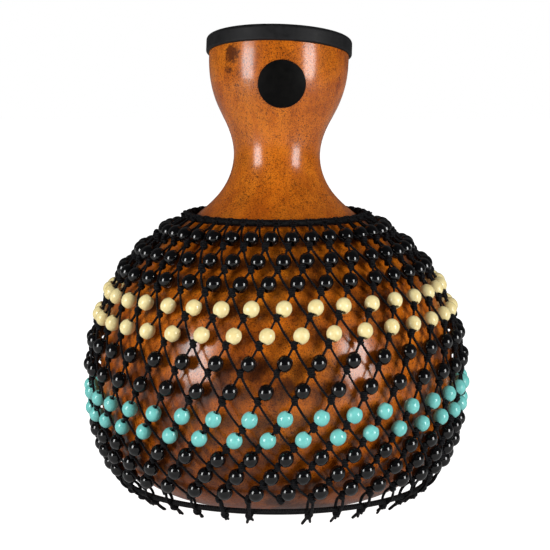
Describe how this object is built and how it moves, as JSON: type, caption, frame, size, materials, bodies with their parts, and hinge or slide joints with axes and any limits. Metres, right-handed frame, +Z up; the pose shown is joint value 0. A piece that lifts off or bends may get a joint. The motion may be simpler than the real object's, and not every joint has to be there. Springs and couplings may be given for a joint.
{
  "type": "shekere",
  "caption": "Hollow waisted gourd rattle with a rubber-edged open mouth, wrapped in a knotted cord net of round beads that slaps and turns on its belly.",
  "frame": {"origin": "middle of the gourd's flat base", "axes": "+Z up along the gourd, front with the plate towards -Y"},
  "size_m": [0.2591, 0.2592, 0.3176],
  "materials": {
    "gourd": "lacquered",
    "rim_rubber": "matte",
    "badge": "satin",
    "cord": "twisted",
    "braid": "braided",
    "bead_black": "glossy",
    "bead_cream": "glossy",
    "bead_turquoise": "glossy"
  },
  "bodies": {
    "gourd": {"gourd_shell": "gourd", "rim_trim": "rim_rubber", "badge": "badge"},
    "collar": {"collar_cord": "braid"},
    "head": {"collar_hitches": "cord"},
    "row_01": {"net_tier_01": "cord", "beads_row_01": "bead_black"},
    "row_02": {"net_tier_02": "cord", "beads_row_02": "bead_black"},
    "row_03": {"net_tier_03": "cord", "beads_row_03": "bead_black"},
    "row_04": {"net_tier_04": "cord", "beads_row_04": "bead_cream"},
    "row_05": {"net_tier_05": "cord", "beads_row_05": "bead_cream"},
    "row_06": {"net_tier_06": "cord", "beads_row_06": "bead_black"},
    "row_07": {"net_tier_07": "cord", "beads_row_07": "bead_black"},
    "row_08": {"net_tier_08": "cord", "beads_row_08": "bead_turquoise"},
    "row_09": {"net_tier_09": "cord", "beads_row_09": "bead_turquoise"},
    "row_10": {"net_tier_10": "cord", "beads_row_10": "bead_black"},
    "row_11": {"net_tier_11": "cord", "beads_row_11": "bead_black"},
    "row_12": {"net_tier_12": "cord", "beads_row_12": "bead_black"},
    "hem": {"hem_cord": "braid", "hem_ties": "cord"}
  },
  "joints": [
    {"name": "net_lift", "type": "slide", "parent": "gourd", "child": "collar", "axis": [0, 0, 1], "range_m": [0, 0.002]},
    {"name": "net_turn", "type": "hinge", "parent": "collar", "child": "head", "pos_m": [0, 0, 0], "axis": [0, 0, 1], "continuous": true},
    {"name": "row_01_twist", "type": "hinge", "parent": "head", "child": "row_01", "pos_m": [0, 0, 0], "axis": [0, 0, 1], "range_deg": [-1.5, 0], "deforming": ["net_tier_01"]},
    {"name": "row_02_twist", "type": "hinge", "parent": "row_01", "child": "row_02", "pos_m": [0, 0, 0], "axis": [0, 0, 1], "range_deg": [-1.5, 0], "deforming": ["net_tier_02"]},
    {"name": "row_03_twist", "type": "hinge", "parent": "row_02", "child": "row_03", "pos_m": [0, 0, 0], "axis": [0, 0, 1], "range_deg": [-1.5, 0], "deforming": ["net_tier_03"]},
    {"name": "row_04_twist", "type": "hinge", "parent": "row_03", "child": "row_04", "pos_m": [0, 0, 0], "axis": [0, 0, 1], "range_deg": [-1.5, 0], "deforming": ["net_tier_04"]},
    {"name": "row_05_twist", "type": "hinge", "parent": "row_04", "child": "row_05", "pos_m": [0, 0, 0], "axis": [0, 0, 1], "range_deg": [-1.5, 0], "deforming": ["net_tier_05"]},
    {"name": "row_06_twist", "type": "hinge", "parent": "row_05", "child": "row_06", "pos_m": [0, 0, 0], "axis": [0, 0, 1], "range_deg": [-1.5, 0], "deforming": ["net_tier_06"]},
    {"name": "row_07_twist", "type": "hinge", "parent": "row_06", "child": "row_07", "pos_m": [0, 0, 0], "axis": [0, 0, 1], "range_deg": [-1.5, 0], "deforming": ["net_tier_07"]},
    {"name": "row_08_twist", "type": "hinge", "parent": "row_07", "child": "row_08", "pos_m": [0, 0, 0], "axis": [0, 0, 1], "range_deg": [-1.5, 0], "deforming": ["net_tier_08"]},
    {"name": "row_09_twist", "type": "hinge", "parent": "row_08", "child": "row_09", "pos_m": [0, 0, 0], "axis": [0, 0, 1], "range_deg": [-1.5, 0], "deforming": ["net_tier_09"]},
    {"name": "row_10_twist", "type": "hinge", "parent": "row_09", "child": "row_10", "pos_m": [0, 0, 0], "axis": [0, 0, 1], "range_deg": [-1.5, 0], "deforming": ["net_tier_10"]},
    {"name": "row_11_twist", "type": "hinge", "parent": "row_10", "child": "row_11", "pos_m": [0, 0, 0], "axis": [0, 0, 1], "range_deg": [-1.5, 0], "deforming": ["net_tier_11"]},
    {"name": "row_12_twist", "type": "hinge", "parent": "row_11", "child": "row_12", "pos_m": [0, 0, 0], "axis": [0, 0, 1], "range_deg": [-1.5, 0], "deforming": ["net_tier_12"]},
    {"name": "hem_twist", "type": "hinge", "parent": "row_12", "child": "hem", "pos_m": [0, 0, 0], "axis": [0, 0, 1], "range_deg": [-1.5, 0], "deforming": ["hem_ties"]}
  ],
  "couplings": [
    {"joint": "row_02_twist", "follows": "row_01_twist", "ratio": 1},
    {"joint": "row_03_twist", "follows": "row_01_twist", "ratio": 1},
    {"joint": "row_04_twist", "follows": "row_01_twist", "ratio": 1},
    {"joint": "row_05_twist", "follows": "row_01_twist", "ratio": 1},
    {"joint": "row_06_twist", "follows": "row_01_twist", "ratio": 1},
    {"joint": "row_07_twist", "follows": "row_01_twist", "ratio": 1},
    {"joint": "row_08_twist", "follows": "row_01_twist", "ratio": 1},
    {"joint": "row_09_twist", "follows": "row_01_twist", "ratio": 1},
    {"joint": "row_10_twist", "follows": "row_01_twist", "ratio": 1},
    {"joint": "row_11_twist", "follows": "row_01_twist", "ratio": 1},
    {"joint": "row_12_twist", "follows": "row_01_twist", "ratio": 1},
    {"joint": "hem_twist", "follows": "row_01_twist", "ratio": 1}
  ]
}
